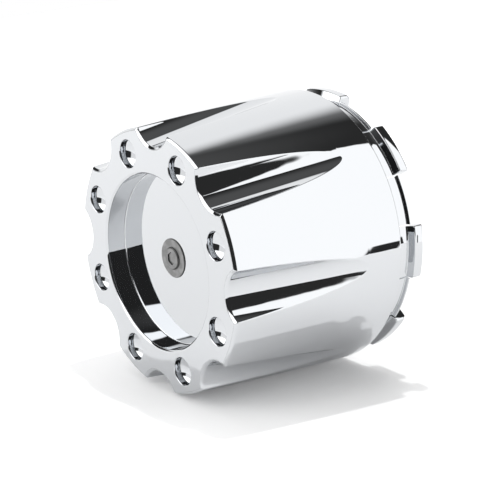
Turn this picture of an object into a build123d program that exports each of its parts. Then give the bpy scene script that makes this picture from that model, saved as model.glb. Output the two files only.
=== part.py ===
from build123d import *
import math
import os

# Tall centre cap for an eight-lug wheel: one plated moulding, with a screw, a washer and a nut at its middle.
# The cap stands on its snap clips. +Z runs out of the face and z = 0 is the end of the clips. Lengths are in mm.

# Side, from the rear rim to the face
rim_diameter = 134.0
rim_edge_chamfer = 0.5
body_height = 90.0
side_lean = 5.2
side_bulge = 0.52
face_edge_chamfer = 1.0

# Flutes, cut by a round cutter whose axis leans outward toward the rear
flute_count = 8
flute_radius = 13.4
flute_depth_at_face = 7.7
flute_runout_height = 20.5

# Blind holes, one to a lobe, set in from the edge of the face
hole_inset = 10.8
hole_diameter = 13.0
hole_wall_depth = 3.4
hole_slope_width = 2.5
hole_slope_depth = 1.3
hole_lip_chamfer = 0.3
hole_boss_wall = 2.2

# Recess in the face, inside the ring of holes
recess_land = 3.6
recess_depth = 10.4
recess_draft = 0.3
recess_lip_chamfer = 0.8

# Shell
face_thickness = 3.0
floor_thickness = 3.0
side_wall_at_face = 3.0
flute_wall = 2.8
recess_wall = 2.8

# Skirt that goes into the wheel, behind the shoulder that rests on it
shoulder_width = 4.8
skirt_wall = 2.4
catch_distance = 8.8
bead_height = 1.4
bead_reach = 1.5
bead_front_rise = 0.5
root_overlap = 1.0

# Snap clips, one behind each flute
clip_angle = 22.5
clip_length = 16.0
hook_reach = 3.6
hook_front_rise = 1.2
hook_lead_in = 1.4
hook_corner_round = 1.2
slot_width = 0.8
slot_root_gap = 0.5

# Screw, washer and nut
screw_diameter = 6.0
screw_head_diameter = 10.6
screw_head_height = 0.8
screw_head_edge_width = 0.5
screw_head_edge_height = 0.5
screw_socket_flats = 5.5
screw_socket_depth = 0.6
screw_length = 11.4
screw_tip_chamfer = 0.7
washer_diameter = 18.4
washer_thickness = 0.5
washer_edge_chamfer = 0.25
nut_flats = 10.0
nut_thickness = 5.0
nut_corner_cut = 0.6
nut_mouth_chamfer = 0.5

# Clearances
shank_hole_clearance = 0.6
washer_bore_clearance = 0.4
thread_clearance = 0.1

# Diameters and radii worked out from the values above
face_diameter = rim_diameter - 2 * side_lean
hole_circle_diameter = face_diameter - 2 * hole_inset
recess_diameter = hole_circle_diameter - hole_diameter - 2 * recess_land
skirt_diameter = rim_diameter - 2 * shoulder_width
bead_diameter = skirt_diameter + 2 * bead_reach
hook_diameter = skirt_diameter + 2 * hook_reach
rim_radius = rim_diameter / 2
face_radius = face_diameter / 2
recess_radius = recess_diameter / 2
skirt_radius = skirt_diameter / 2
skirt_inner_radius = skirt_radius - skirt_wall
cavity_face_radius = face_radius - side_wall_at_face

# Levels worked out from the values above
rim_level = clip_length
face_level = rim_level + body_height
floor_level = face_level - recess_depth
floor_rear_level = floor_level - floor_thickness
catch_level = rim_level - catch_distance
skirt_end_level = catch_level - bead_height
flute_step = 360.0 / flute_count
flute_start = flute_step / 2


def side_radius(level):
    """Radius of the bulging side at a level."""
    t = (level - rim_level) / body_height
    straight = rim_radius + (face_radius - rim_radius) * t
    return straight + 4 * side_bulge * t * (1 - t)


def turned(points):
    """A solid turned about Z from a closed run of (radius, level) points."""
    return revolve(make_face(Plane.XZ * Polyline(*points, close=True)), Axis.Z)


def corner_at(profile, radius, level):
    """The corner of an XZ profile nearest to a radius and level."""
    return profile.vertices().sort_by_distance((radius, 0, level))[0]


def round_the_axis(shape):
    """Eight copies of a shape made about +X, at the flutes' angles."""
    return [Rot(0, 0, flute_start + flute_step * k) * shape for k in range(flute_count)]


def outer_form():
    """The bulging side, the rim with its broken edge, the flat face and the drafted recess with its broken lip."""
    middle_radius = side_radius(rim_level + body_height / 2)
    side = ThreePointArc(
        (rim_radius, rim_level),
        (middle_radius, rim_level + body_height / 2),
        (face_radius, face_level),
    )
    inside = Polyline(
        (face_radius, face_level),
        (recess_radius, face_level),
        (recess_radius - recess_draft, floor_level),
        (0, floor_level),
        (0, rim_level),
        (rim_radius, rim_level),
    )
    profile = Plane.XZ * make_face(side + inside)
    profile = chamfer(corner_at(profile, rim_radius, rim_level), rim_edge_chamfer)
    profile = chamfer(corner_at(profile, recess_radius, face_level), recess_lip_chamfer)
    return revolve(profile, Axis.Z)


def flute_cylinder(radius):
    """One cutter: its floor is deepest at the face and meets the side at the run-out height."""
    runout_level = rim_level + flute_runout_height
    face_axis = face_radius - flute_depth_at_face + flute_radius
    runout_axis = side_radius(runout_level) + flute_radius
    lean = (runout_axis - face_axis) / (face_level - runout_level)
    top = Vector(face_axis - lean * body_height / 2, 0, face_level + body_height / 2)
    bottom = Vector(runout_axis + lean * body_height / 2, 0, runout_level - body_height / 2)
    direction = top - bottom
    return Solid.make_cylinder(radius, direction.length, Plane(origin=bottom, z_dir=direction))


def hole_places():
    """Centres of the blind holes, one in the middle of each lobe."""
    r = hole_circle_diameter / 2
    for k in range(flute_count):
        a = math.radians(flute_step * k)
        yield (r * math.cos(a), r * math.sin(a))


def blind_hole():
    """A straight wall, a sloping ring round a flat bottom and a chamfered lip, below the level z = 0."""
    r = hole_diameter / 2
    lip = r + hole_lip_chamfer
    wall_end = -hole_wall_depth
    bottom = wall_end - hole_slope_depth
    return turned(
        [
            (0, 1),
            (lip, 1),
            (lip, 0),
            (r, -hole_lip_chamfer),
            (r, wall_end),
            (r - hole_slope_width, bottom),
            (0, bottom),
        ]
    )


def cavity():
    """The hollow inside, drafted so that it widens toward the rear."""
    ceiling = face_level - face_thickness
    hollow = turned(
        [
            (0, 0),
            (skirt_inner_radius, 0),
            (skirt_inner_radius, rim_level),
            (cavity_face_radius, ceiling),
            (recess_radius + recess_wall, ceiling),
            (recess_radius + recess_wall, floor_rear_level),
            (0, floor_rear_level),
        ]
    )
    hollow = hollow - round_the_axis(flute_cylinder(flute_radius + flute_wall))
    boss_depth = hole_wall_depth + hole_slope_depth + hole_boss_wall
    boss_radius = hole_diameter / 2 + hole_boss_wall
    boss = Cylinder(boss_radius, boss_depth, align=(Align.CENTER, Align.CENTER, Align.MAX))
    return hollow - [Pos(x, y, face_level) * boss for x, y in hole_places()]


def skirt():
    """The ring behind the rim, with a low bead at its end."""
    front = rim_level + root_overlap
    bead = bead_diameter / 2
    return turned(
        [
            (skirt_inner_radius, front),
            (skirt_inner_radius, skirt_end_level),
            (bead, skirt_end_level),
            (bead, catch_level - bead_front_rise),
            (skirt_radius, catch_level),
            (skirt_radius, front),
        ]
    )


def sector(low, high):
    """A wedge about +X as wide as a clip, which reaches past the hooks."""
    half = math.radians(clip_angle / 2)
    reach = 2 * rim_radius
    side_x = reach * math.cos(half)
    side_y = reach * math.sin(half)
    corners = [(0, 0), (side_x, -side_y), (reach, 0), (side_x, side_y)]
    return extrude(Pos(0, 0, low) * make_face(Polyline(*corners, close=True)), high - low)


def clip():
    """One springing finger with its outward hook, about +X."""
    front = rim_level + root_overlap
    hook = hook_diameter / 2
    ring = turned(
        [
            (skirt_inner_radius, front),
            (skirt_inner_radius, 0),
            (hook - hook_lead_in, 0),
            (hook, hook_lead_in),
            (hook, catch_level - hook_front_rise),
            (skirt_radius, catch_level),
            (skirt_radius, front),
        ]
    )
    finger = ring & sector(-1, front + 1)
    corner_x = hook * math.cos(math.radians(clip_angle / 2))
    outer = finger.edges().filter_by(Axis.Z).filter_by(lambda e: abs(e.center().X - corner_x) < hook_lead_in / 2)
    return fillet(outer, hook_corner_round)


def slots():
    """Narrow cuts on both sides of each clip, which let it spring."""
    bar_length = 2 * (skirt_wall + hook_reach)
    cuts = []
    for side in (-1, 1):
        bar = Pos(skirt_radius, side * slot_width / 2, 0) * Box(
            bar_length,
            slot_width,
            rim_level - slot_root_gap,
            align=(Align.CENTER, Align.CENTER, Align.MIN),
        )
        cuts += round_the_axis(Rot(0, 0, side * clip_angle / 2) * bar)
    return cuts


def cap_body():
    """The whole moulding."""
    outer = outer_form() - round_the_axis(flute_cylinder(flute_radius))
    face = outer.faces().filter_by(Axis.Z).sort_by(Axis.Z)[-1]
    outer = chamfer(face.outer_wire().edges(), face_edge_chamfer)
    outer = outer - [Pos(x, y, face_level) * blind_hole() for x, y in hole_places()]
    shell = outer - cavity()
    shell = shell + (skirt() - round_the_axis(sector(-1, rim_level - 0.01)))
    shell = shell + round_the_axis(clip())
    shell = shell - slots()
    shank_hole = Cylinder((screw_diameter + shank_hole_clearance) / 2, 4 * floor_thickness)
    return shell - Pos(0, 0, floor_level) * shank_hole


def washer():
    """A flat washer on the recess floor."""
    outer = washer_diameter / 2
    inner = (screw_diameter + washer_bore_clearance) / 2
    top = floor_level + washer_thickness
    return turned(
        [
            (inner, floor_level),
            (outer, floor_level),
            (outer, top - washer_edge_chamfer),
            (outer - washer_edge_chamfer, top),
            (inner, top),
        ]
    )


def screw():
    """A screw with a thin flat head and a wide, shallow hexagon socket."""
    seat = floor_level + washer_thickness
    top = seat + screw_head_height
    head = screw_head_diameter / 2
    shank = (screw_diameter - thread_clearance) / 2
    tip = seat - screw_length
    outline = [
        (0, tip),
        (shank - screw_tip_chamfer, tip),
        (shank, tip + screw_tip_chamfer),
        (shank, seat),
        (head, seat),
        (head, top - screw_head_edge_height),
        (head - screw_head_edge_width, top),
        (0, top),
    ]
    hexagon = RegularPolygon(screw_socket_flats / 2, 6, major_radius=False)
    socket = extrude(Pos(0, 0, top - screw_socket_depth) * hexagon, screw_socket_depth + 1)
    return turned(outline) - socket


def nut():
    """A hexagon nut under the recess floor."""
    high = floor_rear_level
    low = high - nut_thickness
    bore = (screw_diameter + thread_clearance) / 2
    corner = nut_flats / math.sqrt(3)
    corner_drop = nut_corner_cut * math.tan(math.radians(30))
    block = extrude(Pos(0, 0, low) * RegularPolygon(nut_flats / 2, 6, major_radius=False), nut_thickness)
    trim = turned(
        [
            (0, low),
            (corner - nut_corner_cut, low),
            (corner, low + corner_drop),
            (corner, high - corner_drop),
            (corner - nut_corner_cut, high),
            (0, high),
        ]
    )
    hole = turned(
        [
            (0, low - 1),
            (bore + nut_mouth_chamfer, low - 1),
            (bore + nut_mouth_chamfer, low),
            (bore, low + nut_mouth_chamfer),
            (bore, high - nut_mouth_chamfer),
            (bore + nut_mouth_chamfer, high),
            (bore + nut_mouth_chamfer, high + 1),
            (0, high + 1),
        ]
    )
    return (block & trim) - hole


def save(shape, name):
    """Writes one node as a single solid."""
    solids = shape.solids()
    print(name, "solids", len(solids), "volume", round(shape.volume, 1), "valid", shape.is_valid)
    export_step(solids[0] if len(solids) == 1 else shape, "parts/" + name + ".step")


os.makedirs("parts", exist_ok=True)
save(cap_body(), "cap_body")
save(washer(), "screw_washer")
save(screw(), "centre_screw")
save(nut(), "lock_nut")
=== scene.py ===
import bpy, bmesh, math, time
import numpy as np
from mathutils import Matrix, Vector
from mathutils.geometry import delaunay_2d_cdt


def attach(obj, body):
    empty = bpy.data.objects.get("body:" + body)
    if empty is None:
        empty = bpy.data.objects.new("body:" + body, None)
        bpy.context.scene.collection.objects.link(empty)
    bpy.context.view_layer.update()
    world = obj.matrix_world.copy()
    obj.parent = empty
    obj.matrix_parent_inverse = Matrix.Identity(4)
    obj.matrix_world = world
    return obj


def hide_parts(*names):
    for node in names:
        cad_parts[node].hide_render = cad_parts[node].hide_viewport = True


startTime = time.time()
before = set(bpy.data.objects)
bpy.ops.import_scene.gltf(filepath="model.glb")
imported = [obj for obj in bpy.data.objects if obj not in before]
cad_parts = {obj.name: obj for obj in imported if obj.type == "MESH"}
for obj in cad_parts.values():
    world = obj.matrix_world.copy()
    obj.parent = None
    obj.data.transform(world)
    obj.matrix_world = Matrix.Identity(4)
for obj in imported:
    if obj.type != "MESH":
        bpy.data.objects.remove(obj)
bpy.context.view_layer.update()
mm = 0.001

# Plated body: every length is in millimetres, z = 0 at the clip ends. ringPoints and holePoints are the
# points round the large circles and round a dimple, and sharpAngle is in degrees
body = {
    "rimRadius": 67.0, "faceRadius": 61.8, "sideBulge": 0.52,
    "rimLevel": 16.0, "faceLevel": 106.0,
    "rimRound": 0.5, "faceChamfer": 1.0, "edgeSoftness": 0.3,
    "fluteCount": 8, "fluteRadius": 13.4, "fluteDepth": 7.7, "fluteRunout": 20.5,
    "recessRadius": 40.9, "recessDepth": 10.4, "recessDraft": 0.12, "recessLip": 0.8, "recessCorner": 0.6,
    "holeCircle": 51.0, "holeRadius": 6.5, "holeWall": 3.4, "holeDish": 1.9, "holeLip": 0.3,
    "ceiling": 103.0, "cavityFaceRadius": 58.8, "fluteWall": 2.8, "recessWall": 2.8, "floorWall": 3.0,
    "bossWall": 2.2, "shankHoleRadius": 3.3,
    "ringPoints": 240, "holePoints": 72, "sharpAngle": 32,
}
pitch = 2 * math.pi / body["fluteCount"]  # angle from one lobe to the next

# Skirt and snap clips behind the rim, halfAngle in degrees
snap = {
    "skirtInner": 59.8, "skirtOuter": 62.2, "skirtEnd": 5.8, "catchLevel": 7.2,
    "beadRadius": 63.7, "beadRise": 0.5,
    "hookRadius": 65.8, "hookRise": 1.2, "hookLead": 1.4, "hookCorner": 1.2,
    "halfAngle": 11.25, "slotWidth": 0.8, "slotTop": 15.5, "root": 1.0, "edge": 0.18,
}


def say(text):
    print(f"{time.time() - startTime:6.1f} s  {text}")


def softCorners(points, radii, steps=3):
    # A run of points whose corners are swapped for short parabolas; a radius of 0 keeps the corner
    out = []
    for i, (point, radius) in enumerate(zip(points, radii)):
        here = np.array(point, float)
        if radius <= 0:
            out.append(here)
            continue
        before = np.array(points[i - 1], float)
        after = np.array(points[(i + 1) % len(points)], float)
        start = here + (before - here) / np.linalg.norm(before - here) * radius
        end = here + (after - here) / np.linalg.norm(after - here) * radius
        t = np.linspace(0, 1, steps + 1)[:, None]
        out.extend((1 - t) ** 2 * start + 2 * t * (1 - t) * here + t ** 2 * end)
    return np.array(out)


def gridFaces(rows, columns, wrapColumns=False):
    # Quads of a rows x columns grid of points counted row by row
    r = np.arange(rows - 1)[:, None] * columns
    c = np.arange(columns if wrapColumns else columns - 1)[None, :]
    c2 = (c + 1) % columns
    quads = np.stack([r + c, r + c2, r + columns + c2, r + columns + c], axis=-1)
    return quads.reshape(-1, 4)


def circle(centre, radius, count):
    angle = np.arange(count) * 2 * math.pi / count
    return np.asarray(centre) + radius * np.stack([np.cos(angle), np.sin(angle)], axis=-1)


class Shell:
    # Collects patches of points and faces, and makes one closed mesh of them
    def __init__(self):
        self.points, self.faces, self.count = [], [], 0

    def add(self, points, faces):
        points = np.asarray(points, float).reshape(-1, 3)
        self.points.append(points)
        self.faces.extend((np.asarray(faces) + self.count).tolist() if len(faces) else [])
        self.count += len(points)

    def grid(self, points, wrapColumns=False):
        rows, columns = points.shape[:2]
        self.add(points, gridFaces(rows, columns, wrapColumns))

    def turned(self, profile, count, centre=(0, 0)):
        # A run of (radius, level) points carried round a vertical axis
        ring = circle((0, 0), 1, count)
        level = np.ones(count)
        x = centre[0] + profile[:, :1] * ring[:, 0]
        y = centre[1] + profile[:, :1] * ring[:, 1]
        self.grid(np.stack([x, y, profile[:, 1:] * level], axis=-1), wrapColumns=True)

    def flat(self, outline, level, holes=()):
        # A level plate inside an outline, less round holes given as (centre, radius, number of points)
        loops = [outline] + [circle(centre, radius, count) for centre, radius, count in holes]
        edges, start = [], 0
        for loop in loops:
            ring = np.arange(len(loop))
            edges += np.stack([start + ring, start + (ring + 1) % len(loop)], axis=-1).tolist()
            start += len(loop)
        corners = [Vector((float(x), float(y))) for loop in loops for x, y in loop]
        triangulateInside, tolerance = 1, 1e-7
        made, _, faces, _, _, _ = delaunay_2d_cdt(corners, edges, [], triangulateInside, tolerance)
        made, faces = np.array(made), np.array(faces)
        middle = made[faces].mean(axis=1)
        for centre, radius, _ in holes:
            keep = np.hypot(*(middle - centre).T) > radius
            faces, middle = faces[keep], middle[keep]
        self.add(np.column_stack([made, np.full(len(made), level)]), faces)

    def build(self, name, mergeDistance=0.002):
        # Makes the mesh in metres, joins the patches' shared points and turns the faces outward
        mesh = bpy.data.meshes.new(name)
        mesh.from_pydata((np.concatenate(self.points) * mm).tolist(), [], self.faces)
        work = bmesh.new()
        work.from_mesh(mesh)
        bmesh.ops.remove_doubles(work, verts=work.verts, dist=mergeDistance * mm)
        bmesh.ops.recalc_face_normals(work, faces=work.faces)
        openEdges = sum(1 for edge in work.edges if len(edge.link_faces) != 2)
        work.to_mesh(mesh)
        work.free()
        piece = bpy.data.objects.new(name, mesh)
        bpy.context.scene.collection.objects.link(piece)
        print("   ", name, len(mesh.polygons), "faces, open or shared edges", openEdges)
        return piece


def sideRadius(z):
    # Straight taper from the rim to the face plus a parabola that is sideBulge high in the middle
    t = (z - body["rimLevel"]) / (body["faceLevel"] - body["rimLevel"])
    straight = body["rimRadius"] + (body["faceRadius"] - body["rimRadius"]) * t
    return straight + 4 * body["sideBulge"] * t * (1 - t)


runoutLevel = body["rimLevel"] + body["fluteRunout"]
faceAxis = body["faceRadius"] - body["fluteDepth"] + body["fluteRadius"]
runoutAxis = sideRadius(runoutLevel) + body["fluteRadius"]
fluteLean = (runoutAxis - faceAxis) / (body["faceLevel"] - runoutLevel)
fluteStretch = math.sqrt(1 + fluteLean ** 2)


def fluteAxisRadius(z):
    # Distance of the leaning cutter's axis from the cap's axis
    return faceAxis + (body["faceLevel"] - z) * fluteLean


def fluteNear(delta, z, cutter):
    # Near crossing of a ray at angle delta with the cutter's level section, an ellipse, or miss where it
    # has none
    a, across, along = fluteAxisRadius(z), cutter, cutter * fluteStretch
    p = np.cos(delta) ** 2 / along ** 2 + np.sin(delta) ** 2 / across ** 2
    q = a * np.cos(delta) / along ** 2
    s = a ** 2 / along ** 2 - 1
    inside, miss = q ** 2 - p * s, 1e3
    return np.where(inside > 0, (q - np.sqrt(np.maximum(inside, 0))) / p, miss)


def softMin(a, b, k):
    # The lesser of two lengths, with a parabola k wide where they cross
    h = np.clip(0.5 + 0.5 * (b - a) / k, 0, 1)
    return b + (a - b) * h - k * h * (1 - h)


def fluteEdge(z, inset):
    # Half angle at which the cutter meets the side, found by halving, 0 below the run-out
    widest, halvings = math.radians(16), 40
    low, high = np.zeros_like(z), np.full_like(z, widest)
    for _ in range(halvings):
        middle = (low + high) / 2
        cut = fluteNear(middle, z, body["fluteRadius"] + inset) < sideRadius(z) - inset
        low, high = np.where(cut, middle, low), np.where(cut, high, middle)
    return low


def outlineRows(z, inset):
    # Rows of the fluted outline: the lesser of the side's radius and the flutes' near crossing, softened
    # where they meet. The columns stand closer round a flute's edges, at the distances in crowd, less where
    # it is narrow
    z, inset = z[:, None], inset[:, None]
    radius = sideRadius(z) - inset
    cutter = body["fluteRadius"] + inset
    leastHalfWidth, spare, arcColumns, lobeColumns = 0.5, 2.2, 13, 9
    crowd = np.array([0.06, 0.14, 0.25, 0.42, 0.75])
    edge = np.sqrt(fluteEdge(z, inset) ** 2 + (leastHalfWidth / radius) ** 2)
    room = np.minimum(1, edge * radius / (spare * crowd[-1]))
    near = edge - crowd[::-1] * room / radius
    far = edge + crowd * room / radius
    first = near[:, :1]
    turn = np.arcsin(np.clip(fluteNear(first, z, cutter) * np.sin(first) / cutter, -1, 1))
    psi = turn * np.linspace(0, 1, arcColumns)[None, :-1]
    a = fluteAxisRadius(z)
    inner = np.arctan2(cutter * np.sin(psi), a - cutter * fluteStretch * np.cos(psi))
    last = far[:, -1:]
    outer = last + (pitch / 2 - last) * np.linspace(0, 1, lobeColumns)[None, 1:]
    half = np.concatenate([inner, near, edge, far, outer], axis=1)
    delta = np.concatenate([-half[:, ::-1], half[:, 1:]], axis=1)[:, :-1]
    depth = np.maximum(sideRadius(z) - (a - body["fluteRadius"] * fluteStretch), 0)
    softShare, leastSoft = 0.08, 0.02
    soft = np.clip(softShare * depth, leastSoft, 2 * body["edgeSoftness"])
    r = softMin(radius + 0 * delta, fluteNear(delta, z, cutter), soft)
    flutes = body["fluteCount"]
    angle = (np.arange(flutes) * pitch + pitch / 2)[None, :, None] + delta[:, None, :]
    angle = angle.reshape(len(z), -1)
    r = np.tile(r[:, None, :], (1, flutes, 1)).reshape(len(z), -1)
    return np.stack([r * np.cos(angle), r * np.sin(angle), np.broadcast_to(z, r.shape)], axis=-1)


def bodyOutside():
    # The closed outer form: rim, fluted side, chamfer, face, dimples and recess, with a flat rear
    shell = Shell()
    rim, top, cut, rimRound = body["rimLevel"], body["faceLevel"], body["faceChamfer"], body["rimRound"]
    quarter = np.linspace(0, math.pi / 2, 6)
    rimRows = np.stack([rim + rimRound * (1 - np.cos(quarter)), rimRound * (1 - np.sin(quarter))], axis=-1)
    # The side's rows stand closer between closeLow and closeHigh, where the flutes run out
    sideStart, closeLow, closeHigh, sideEnd = rim + 0.8, runoutLevel - 6, runoutLevel + 12, top - cut - 0.3
    sideLevels = np.concatenate([
        np.linspace(sideStart, closeLow, 12)[:-1],
        np.linspace(closeLow, closeHigh, 46)[:-1],
        np.linspace(closeHigh, sideEnd, 40),
    ])
    sideRows = np.stack([sideLevels, 0 * sideLevels], axis=-1)
    bend, holeBend = 0.25, 0.15
    edgeRows = softCorners(
        [(sideEnd, 0), (top - cut, 0), (top, cut), (top, cut + 0.2)],
        [0, bend, bend, 0], steps=4,
    )[1:]
    rows = np.concatenate([rimRows, sideRows, edgeRows])
    outline = outlineRows(rows[:, 0], rows[:, 1])
    shell.grid(outline, wrapColumns=True)
    rear = outline[0, :, :2]
    shell.flat(rear, rim)

    # Each opening's profile starts with a narrow flat margin of the face round its lip
    recess, recessLip, floorLevel = body["recessRadius"], body["recessLip"], top - body["recessDepth"]
    recessMargin, holeMargin, floorRing = 0.3, 0.25, 20.0
    recessProfile = softCorners([
        (recess + recessLip + recessMargin, top), (recess + recessLip, top), (recess, top - recessLip),
        (recess - body["recessDraft"], floorLevel), (floorRing, floorLevel), (0, floorLevel),
    ], [0, bend, bend, body["recessCorner"], 0, 0], steps=4)
    hole, holeLip, wallEnd = body["holeRadius"], body["holeLip"], top - body["holeWall"]
    wall = softCorners([
        (hole + holeLip + holeMargin, top), (hole + holeLip, top), (hole, top - holeLip), (hole, wallEnd),
    ], [0, holeBend, holeBend, 0], steps=4)
    across = np.linspace(1, 0, 17)[1:]
    dish = np.stack([hole * across, wallEnd - body["holeDish"] * (1 - across ** 2)], axis=-1)
    holeProfile = np.concatenate([wall, dish])
    holes = [((0, 0), recessProfile[0, 0], body["ringPoints"])]
    for centre in circle((0, 0), body["holeCircle"], body["fluteCount"]):
        holes.append((centre, holeProfile[0, 0], body["holePoints"]))
        shell.turned(holeProfile, body["holePoints"], centre)
    shell.flat(outline[-1, :, :2], top, holes)
    shell.turned(recessProfile, body["ringPoints"])
    return shell.build("capOutside")


def closedTurned(name, corners, count):
    # A solid turned from a run of (radius, level) corners, closed by itself or at the axis
    shell = Shell()
    profile = np.array(corners if corners[0][0] == 0 else corners + corners[:1], float)
    shell.turned(profile, count)
    return shell.build(name)


def leaningCutter(name, radius, azimuth):
    # A closed cylinder along the flute's axis, which reaches past the run-out and the face
    shell = Shell()
    below, above, count = 45.0, 25.0, 120
    levels = np.array([runoutLevel - below, body["faceLevel"] + above])
    angle = np.arange(count) * 2 * math.pi / count
    a = fluteAxisRadius(levels)[:, None]
    x = a + radius * fluteStretch * np.cos(angle)[None, :]
    y = np.broadcast_to(radius * np.sin(angle)[None, :], x.shape)
    c, s = math.cos(azimuth), math.sin(azimuth)
    points = np.stack([x * c - y * s, x * s + y * c, np.broadcast_to(levels[:, None], x.shape)], axis=-1)
    shell.grid(points, wrapColumns=True)
    ring = np.arange(count)
    shell.faces.append(ring.tolist())
    shell.faces.append((ring[::-1] + count).tolist())
    return shell.build(name)


def sweptArc(name, profile, turn, halfWidth, columns=25, trim=None):
    # A closed profile carried along an arc about the axis. A trim lowers radii by their angle from the nearer
    # end, and the columns then stand closer at the two ends, at the distances in near
    shell = Shell()
    angle = np.linspace(-halfWidth, halfWidth, columns)
    if trim is not None:
        near = np.array([0.0, 0.04, 0.14, 0.32, 0.6, 0.9, 1.2]) / snap["hookRadius"]
        middle = np.linspace(-halfWidth + near[-1], halfWidth - near[-1], columns)
        angle = np.concatenate([-halfWidth + near[:-1], middle, halfWidth - near[:-1][::-1]])
    r = np.broadcast_to(profile[:, 0][None, :], (len(angle), len(profile))).copy()
    z = np.broadcast_to(profile[:, 1][None, :], r.shape)
    if trim is not None:
        r = trim(r, (halfWidth - np.abs(angle))[:, None])
    a = angle[:, None] + turn
    points = np.stack([r * np.cos(a), r * np.sin(a), z], axis=-1)
    shell.grid(points, wrapColumns=True)
    ring = np.arange(len(profile))
    shell.faces.append(ring.tolist())
    shell.faces.append((ring[::-1] + (len(angle) - 1) * len(profile)).tolist())
    return shell.build(name)


def hookTrim(radius, angleFromEnd):
    # Rounds the hook's two outer corners: the radius falls along a quarter circle near the ends, by less
    # towards the hook's foot
    d = angleFromEnd * snap["hookRadius"]
    corner, footWidth = snap["hookCorner"], 0.6
    drop = corner - np.sqrt(np.maximum(corner ** 2 - (corner - np.minimum(d, corner)) ** 2, 0))
    foot = snap["skirtOuter"] + footWidth
    share = np.clip((radius - foot) / (snap["hookRadius"] - foot), 0, 1)
    return radius - drop * share


def joined(base, others, operation):
    # Adds or cuts closed solids one after another, and leaves one mesh in the base object
    for other in others:
        change = base.modifiers.new("change", "BOOLEAN")
        change.operation, change.object, change.solver = operation, other, "MANIFOLD"
        graph = bpy.context.evaluated_depsgraph_get()
        result = bpy.data.meshes.new_from_object(base.evaluated_get(graph))
        base.modifiers.clear()
        base.data = result
        bpy.data.objects.remove(other, do_unlink=True)
    return base


def smoothWithSharps(piece, angle):
    # Smooth shading, kept flat on level plates and across edges sharper than the angle
    mesh = piece.data
    mesh.polygons.foreach_set("use_smooth", np.ones(len(mesh.polygons), bool))
    mesh.set_sharp_from_angle(angle=math.radians(angle))
    normals = np.empty(len(mesh.polygons) * 3)
    mesh.polygons.foreach_get("normal", normals)
    levelLimit = 0.99999
    level = np.abs(normals.reshape(-1, 3)[:, 2]) > levelLimit
    loopEdges = np.empty(len(mesh.loops), int)
    mesh.loops.foreach_get("edge_index", loopEdges)
    totals = np.empty(len(mesh.polygons), int)
    mesh.polygons.foreach_get("loop_total", totals)
    ofLoop = np.repeat(level, totals).astype(int)
    flatSides = np.bincount(loopEdges, weights=ofLoop, minlength=len(mesh.edges))
    sharp = np.empty(len(mesh.edges), bool)
    mesh.edges.foreach_get("use_edge_sharp", sharp)
    mesh.edges.foreach_set("use_edge_sharp", sharp | (flatSides == 1))
    mesh.update()


def plainCylinder(name, radius, low, high, centre=(0, 0), count=96):
    shell = Shell()
    shell.turned(np.array([(0, low), (radius, low), (radius, high), (0, high)], float), count, centre)
    return shell.build(name)


def bodyInside():
    # The hollow as a solid to cut with: a drafted cup less the recess, the flutes' walls and the hole bosses
    reach = 6.0
    rim = body["rimLevel"]
    boss = body["recessRadius"] + body["recessWall"]
    rear = body["faceLevel"] - body["recessDepth"] - body["floorWall"]
    hollow = closedTurned("hollow", [
        (0, rim - reach), (snap["skirtInner"], rim - reach), (snap["skirtInner"], rim),
        (body["cavityFaceRadius"], body["ceiling"]), (boss, body["ceiling"]), (boss, rear), (0, rear),
    ], body["ringPoints"])
    wallRadius = body["fluteRadius"] + body["fluteWall"]
    bossRadius = body["holeRadius"] + body["bossWall"]
    bossLow = body["faceLevel"] - body["holeWall"] - body["holeDish"] - body["bossWall"]
    cutters = []
    for k in range(body["fluteCount"]):
        turn = k * pitch
        cutters.append(leaningCutter("fluteWall", wallRadius, turn + pitch / 2))
        centre = (body["holeCircle"] * math.cos(turn), body["holeCircle"] * math.sin(turn))
        cutters.append(plainCylinder("holeBoss", bossRadius, bossLow, body["ceiling"] + reach, centre))
    return joined(hollow, cutters, "DIFFERENCE")


def shankHole():
    # The screw's hole through the recess floor, as a cylinder to cut with
    reach = 4.0
    floorLevel = body["faceLevel"] - body["recessDepth"]
    low = floorLevel - body["floorWall"] - reach
    return plainCylinder("shankHole", body["shankHoleRadius"], low, floorLevel + reach)


def snapRing():
    # Eight skirt lengths with the bead, eight clips, and the thin ring that joins them at the slots' roots
    top = body["rimLevel"] + snap["root"]
    soft = snap["edge"]
    inner, outer, catch = snap["skirtInner"], snap["skirtOuter"], snap["catchLevel"]
    end, bead, hook = snap["skirtEnd"], snap["beadRadius"], snap["hookRadius"]
    skirtProfile = softCorners([
        (inner, top), (inner, end), (bead, end),
        (bead, catch - snap["beadRise"]), (outer, catch), (outer, top),
    ], [0, soft, soft, soft, soft, 0])
    clipProfile = softCorners([
        (inner, top), (inner, 0), (hook - snap["hookLead"], 0), (hook, snap["hookLead"]),
        (hook, catch - snap["hookRise"]), (outer, catch), (outer, top),
    ], [0, soft, soft, soft * 2, soft * 2, soft, 0])
    pieces = []
    half = math.radians(snap["halfAngle"])
    slot = snap["slotWidth"] / outer
    for k in range(body["fluteCount"]):
        turn = k * pitch
        pieces.append(sweptArc("skirtLength", skirtProfile, turn, pitch / 2 - half - slot))
        pieces.append(sweptArc("clip", clipProfile, turn + pitch / 2, half, trim=hookTrim))
    root = snap["slotTop"]
    ring = [(inner, root), (outer, root), (outer, top), (inner, top)]
    pieces.append(closedTurned("slotRoot", ring, body["ringPoints"]))
    return pieces


say("modelling the body")
cap = bodyOutside()
say("outside made")
cap = joined(cap, [bodyInside(), shankHole()], "DIFFERENCE")
say("hollow cut")
cap = joined(cap, snapRing(), "UNION")
say("skirt and clips joined")
smoothWithSharps(cap, body["sharpAngle"])
cap.name = "cap_body_plated"
cap.data.name = cap.name
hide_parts("cap_body")
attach(cap, "root")
print("body", len(cap.data.polygons), "faces")


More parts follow.
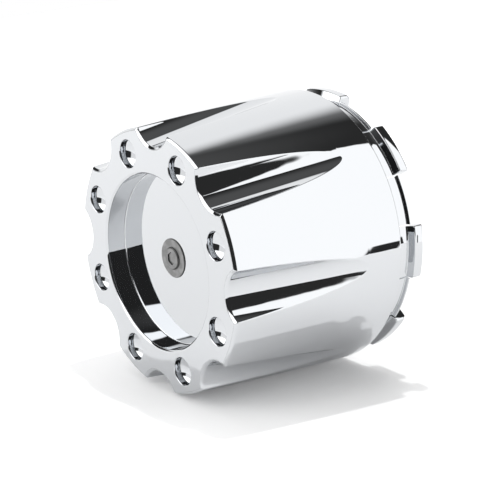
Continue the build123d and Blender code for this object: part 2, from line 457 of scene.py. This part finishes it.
class Wire:
    # A shader socket whose arithmetic adds Math nodes
    def __init__(self, graph, socket):
        self.graph, self.socket = graph, socket

    def math(self, operation, other=0.0, swap=False):
        values = {0: other, 1: self} if swap else {0: self, 1: other}
        return self.graph.node("ShaderNodeMath", {"operation": operation}, values)

    def __add__(self, other):
        return self.math("ADD", other)

    def __sub__(self, other):
        return self.math("SUBTRACT", other)

    def __mul__(self, other):
        return self.math("MULTIPLY", other)

    def __truediv__(self, other):
        return self.math("DIVIDE", other)

    def __rsub__(self, other):
        return self.math("SUBTRACT", other, swap=True)

    def __rtruediv__(self, other):
        return self.math("DIVIDE", other, swap=True)

    __radd__ = __add__
    __rmul__ = __mul__

    def smooth(self, low, high):
        # 0 below low, 1 above high, eased between
        return self.graph.node("ShaderNodeMapRange", {"interpolation_type": "SMOOTHSTEP"},
                               {"Value": self, "From Min": low, "From Max": high})


class ShaderGraph:
    # A material's or a world's node tree, filled by one method
    def __init__(self, owner):
        self.owner = owner
        owner.use_nodes = True
        self.tree = owner.node_tree
        self.tree.nodes.clear()

    def node(self, kind, settings=None, inputs=None, output=0):
        made = self.tree.nodes.new(kind)
        for name, value in (settings or {}).items():
            setattr(made, name, value)
        for name, value in (inputs or {}).items():
            socket = made.inputs[name]
            if isinstance(value, Wire):
                self.tree.links.new(value.socket, socket)
            else:
                socket.default_value = value
        return Wire(self, made.outputs[output]) if len(made.outputs) else None


def newMaterial(name):
    return ShaderGraph(bpy.data.materials.new(name))


def mixColours(graph, share, first, second):
    # A share of 0 gives the first colour and 1 the second. Sockets 6 and 7 and output 2 are the colour ones
    return graph.node("ShaderNodeMix", {"data_type": "RGBA"}, {0: share, 6: first, 7: second}, 2)


def dotProduct(graph, direction, axis):
    # How much of a unit direction points along an axis
    return graph.node("ShaderNodeVectorMath", {"operation": "DOT_PRODUCT"}, {0: direction, 1: axis}, "Value")


# Plating: its colour, its roughness with what the duller patches add, and the faint ripple of the moulding
plating = {
    "colour": (0.63, 0.643, 0.66, 1),
    "rough": 0.02, "patchRough": 0.025, "patchScale": 30.0,
    "rippleScale": 70.0, "rippleStrength": 0.09, "rippleDepth": 0.0005,
}


def chromePlate():
    # Mirror plate: nearly smooth, with a very faint ripple from the moulding and a few duller patches
    graph = newMaterial("chrome_plate")
    place = graph.node("ShaderNodeTexCoord", output="Object")
    ripple = graph.node("ShaderNodeTexNoise", {}, {
        "Vector": place, "Scale": plating["rippleScale"], "Detail": 1.0,
    })
    dull = graph.node("ShaderNodeTexNoise", {}, {
        "Vector": place, "Scale": plating["patchScale"], "Detail": 3.0,
    })
    bump = graph.node("ShaderNodeBump", {}, {
        "Strength": plating["rippleStrength"], "Distance": plating["rippleDepth"], "Height": ripple,
    })
    surface = graph.node("ShaderNodeBsdfPrincipled", {}, {
        "Base Color": plating["colour"], "Metallic": 1.0, "Normal": bump,
        "Roughness": plating["rough"] + plating["patchRough"] * dull.smooth(0.45, 0.8),
    })
    graph.node("ShaderNodeOutputMaterial", {}, {"Surface": surface})
    return graph.owner


# Steel of the screw, washer and nut: tones of the specks and of the painted shade on the upright edges as
# shares of the plain colour, what the grain adds, and each finish's colour, roughness and grain scale
steelFinish = {
    "speckTone": 0.72, "speckScale": 260.0, "uprightShadeTone": 0.12,
    "metallic": 0.85, "grainRough": 0.12, "grainStrength": 0.2, "grainDepth": 0.0001,
    "grey_steel": ((0.33, 0.33, 0.33), 0.42, 1400.0),
    "zinc_steel": ((0.5, 0.5, 0.49), 0.35, 900.0),
}


def dullSteel(name):
    # Dull steel with a fine grain and slightly darker specks, and painted shade that darkens its upright
    # edges
    colour, roughness, grain = steelFinish[name]
    graph = newMaterial(name)
    place = graph.node("ShaderNodeTexCoord", output="Object")
    fine = graph.node("ShaderNodeTexNoise", {}, {"Vector": place, "Scale": grain, "Detail": 4.0})
    patch = graph.node("ShaderNodeTexNoise", {}, {
        "Vector": place, "Scale": steelFinish["speckScale"], "Detail": 2.0,
    })
    plain = colour + (1,)
    speck = tuple(steelFinish["speckTone"] * c for c in colour) + (1,)
    # Painted shade: faces that stand upright are darkened by their tilt, to stand for the shade and dark
    # reflections on the edges
    edge = tuple(steelFinish["uprightShadeTone"] * c for c in colour) + (1,)
    rise = dotProduct(graph, graph.node("ShaderNodeNewGeometry", output="Normal"), (0, 0, 1))
    level = (rise * rise).smooth(0.3, 0.9)
    tone = mixColours(graph, patch.smooth(0.35, 0.7), speck, plain)
    tone = mixColours(graph, level, edge, tone)
    bump = graph.node("ShaderNodeBump", {}, {
        "Strength": steelFinish["grainStrength"], "Distance": steelFinish["grainDepth"], "Height": fine,
    })
    surface = graph.node("ShaderNodeBsdfPrincipled", {}, {
        "Base Color": tone, "Metallic": steelFinish["metallic"], "Normal": bump,
        "Roughness": roughness + steelFinish["grainRough"] * fine,
    })
    graph.node("ShaderNodeOutputMaterial", {}, {"Surface": surface})
    return graph.owner


def dress(piece, material):
    piece.data.materials.clear()
    piece.data.materials.append(material)


dress(cap, chromePlate())
steel, zinc = dullSteel("grey_steel"), dullSteel("zinc_steel")
for nodeName, material in (("screw_washer", steel), ("centre_screw", steel), ("lock_nut", zinc)):
    dress(bpy.data.objects[nodeName], material)
say("materials on")

# The shot, in metres in the cap's frame: the camera's place, view and lens, the middle of the cap, and the
# floor that it lay on, with the floor's turn to the right of the view in degrees and its left, right, near
# and far edges
shot = {
    "place": (-0.40086, -0.39181, 0.44889), "forward": (0.57902, 0.57608, -0.57695),
    "up": (0.58397, -0.78685, -0.19961),
    "lens": 103.94, "sensor": 36.0, "clipStart": 0.01, "middle": (0, 0, 0.05),
    "floorUp": (0.433, -0.899, -0.059), "floorTurn": 19.0, "floorEdges": (-1.2, 0.38, -0.38, 3.0),
}

# Lamp and sky as shares of white, with the lamp's place and the sizes of both. fade holds the distances over
# which the floor makes up for the lamp's falling light. The floor's glow to the camera, and the share of it
# that the plating mirrors. The tones of walls and ceiling, and the sines of the angles at which the ceiling
# starts and is full. For each panel its bearing in degrees, its left, right, low and high edges as
# tangents, its edge blur and its tone
studio = {
    "lampShare": 0.26, "lampHeight": 0.95, "lampBehind": 0.07, "lampRight": 0.03, "lampRadius": 0.011,
    "skyShare": 0.36, "skyAngle": 60.0,
    "floorColour": (0.97, 0.97, 0.97, 1), "fade": (0.1, 0.9), "floorGlow": 0.14, "mirroredGlow": 0.4,
    "dark": 0.033, "ceiling": 0.11, "ceilingRise": (0.82, 0.96),
    "panels": [
        (-5.0, -1.0, 0.7, -0.6, 2.3, 0.35, 0.3),
        (-5.0, -1.0, 0.48, -0.6, 2.3, 0.17, 1.2),
        (-85.0, -0.45, 1.0, -0.35, 0.3, 0.05, 1.08),
        (-118.0, -0.47, 0.86, 0.16, 1.52, 0.03, 2.15),
        (88.0, -0.23, 0.69, 0.06, 1.5, 0.012, 1.5),
        (88.0, -0.23, 0.655, -0.35, 0.1, 0.012, 1.5),
        (88.0, 0.28, 0.332, -0.3, -0.128, 0.005, 0.03),
    ],
}


def turnTo(back, up):
    # Rotation whose z axis is back and whose y axis is nearest to up
    back = Vector(back).normalized()
    side = Vector(up).cross(back).normalized()
    return Matrix((side, back.cross(side), back)).transposed().to_4x4()


def addCamera():
    data = bpy.data.cameras.new("shotCamera")
    data.lens, data.sensor_width, data.clip_start = shot["lens"], shot["sensor"], shot["clipStart"]
    camera = bpy.data.objects.new("shotCamera", data)
    camera.matrix_world = Matrix.Translation(shot["place"]) @ turnTo(-Vector(shot["forward"]), shot["up"])
    bpy.context.scene.collection.objects.link(camera)
    bpy.context.scene.camera = camera


def floorPlane():
    # White floor under the lying cap: it touches the rim and the face's lower edge, and is clear from behind.
    # Away from the lamp's foot it glows by about what the lamp's light loses there
    up = Vector(shot["floorUp"]).normalized()
    points = np.empty(len(cap.data.vertices) * 3)
    cap.data.vertices.foreach_get("co", points)
    lowest = (points.reshape(-1, 3) @ np.array(up)).min()
    middle = Vector(shot["middle"])
    foot = middle + up * (lowest - middle.dot(up))
    left, right, near, far = shot["floorEdges"]
    mesh = bpy.data.meshes.new("studioFloor")
    mesh.from_pydata([(left, near, 0), (right, near, 0), (right, far, 0), (left, far, 0)], [], [(0, 1, 2, 3)])
    plane = bpy.data.objects.new("studioFloor", mesh)
    along = Matrix.Rotation(math.radians(-shot["floorTurn"]), 3, up) @ Vector(shot["forward"])
    plane.matrix_world = Matrix.Translation(up * lowest) @ turnTo(up, along)
    bpy.context.scene.collection.objects.link(plane)
    graph = newMaterial("studioFloor")
    seen = graph.node("ShaderNodeLightPath", output="Is Camera Ray")
    mirrored = graph.node("ShaderNodeLightPath", output="Is Glossy Ray")
    matt = graph.node("ShaderNodeBsdfDiffuse", {}, {"Color": studio["floorColour"]})
    spot = graph.node("ShaderNodeNewGeometry", output="Position")
    away = graph.node("ShaderNodeVectorMath", {"operation": "DISTANCE"}, {0: spot, 1: tuple(foot)}, "Value")
    fade = studio["lampShare"] * away.smooth(*studio["fade"])
    lift = (seen + studio["mirroredGlow"] * mirrored) * studio["floorGlow"] + (seen + mirrored) * fade
    glow = graph.node("ShaderNodeEmission", {}, {"Color": (1, 1, 1, 1), "Strength": lift})
    paper = graph.node("ShaderNodeAddShader", {}, {0: matt, 1: glow})
    clear = graph.node("ShaderNodeBsdfTransparent", {}, {})
    behind = graph.node("ShaderNodeNewGeometry", output="Backfacing")
    mixed = graph.node("ShaderNodeMixShader", {}, {0: behind, 1: paper, 2: clear})
    graph.node("ShaderNodeOutputMaterial", {}, {"Surface": mixed})
    dress(plane, graph.owner)
    return up, foot


def levelAhead(up):
    # The camera's view direction laid flat on the floor
    forward = Vector(shot["forward"])
    return (forward - up * forward.dot(up)).normalized()


def panel(axes, turn, left, right, low, high, blur):
    # Share of an upright panel in a direction: its flat picture from the middle, faded at its edges and
    # left out behind. turn is its bearing from the camera's view, and the four edges are tangents of its
    # angles
    side, ahead, rise = axes
    c, s = math.cos(math.radians(turn)), math.sin(math.radians(turn))
    toward = ahead * c + side * s
    across = (side * c - ahead * s) / toward
    height = rise / toward
    shown = toward.smooth(0.0, 0.05)
    shown = shown * across.smooth(left - blur, left + blur) * (1 - across.smooth(right - blur, right + blur))
    return shown * height.smooth(low - blur, low + blur) * (1 - height.smooth(high - blur, high + blur))


def studioSurroundings(graph, up):
    # What the plating shows: dark walls and ceiling, a pale sweep ahead and white panels at the sides
    ahead = levelAhead(up)
    look = graph.node("ShaderNodeTexCoord")
    axes = [dotProduct(graph, look, tuple(axis)) for axis in (ahead.cross(up), ahead, up)]
    rise = axes[2]
    tone = studio["dark"] + (studio["ceiling"] - studio["dark"]) * rise.smooth(*studio["ceilingRise"])
    for turn, left, right, low, high, blur, level in studio["panels"]:
        share = panel(axes, turn, left, right, low, high, blur)
        tone = tone + (level - tone) * share
    return tone


def studioLight(up, floorPoint):
    # A small lamp above the cap and a broad soft sky, each as bright on a white floor as its share of
    # white. A point lamp needs 4 pi^2 height^2 watts for full white there, and a sun pi
    height = studio["lampHeight"]
    ahead = levelAhead(up)
    above = floorPoint + up * height + ahead * studio["lampBehind"] + ahead.cross(up) * studio["lampRight"]
    lamp = bpy.data.lights.new("lampAbove", "POINT")
    lamp.energy = studio["lampShare"] * 4 * math.pi ** 2 * height ** 2
    lamp.shadow_soft_size = studio["lampRadius"]
    sky = bpy.data.lights.new("softSky", "SUN")
    sky.energy, sky.angle = studio["skyShare"] * math.pi, math.radians(studio["skyAngle"])
    for light in (lamp, sky):
        piece = bpy.data.objects.new(light.name, light)
        piece.matrix_world = Matrix.Translation(above) @ turnTo(up, (0, 0, 1))
        piece.visible_glossy = False
        bpy.context.scene.collection.objects.link(piece)
    world = bpy.data.worlds.new("studioWorld")
    bpy.context.scene.world = world
    graph = ShaderGraph(world)
    white = graph.node("ShaderNodeBackground", {}, {"Color": (1, 1, 1, 1), "Strength": 1.0})
    tone = studioSurroundings(graph, up)
    around = graph.node("ShaderNodeBackground", {}, {"Color": (1, 1, 1, 1), "Strength": tone})
    seen = graph.node("ShaderNodeLightPath", output="Is Camera Ray")
    mixed = graph.node("ShaderNodeMixShader", {}, {0: seen, 1: around, 2: white})
    graph.node("ShaderNodeOutputWorld", {}, {"Surface": mixed})


addCamera()
floorUp, floorPoint = floorPlane()
studioLight(floorUp, floorPoint)
bpy.context.scene.view_settings.view_transform = "Standard"
say("stage set")
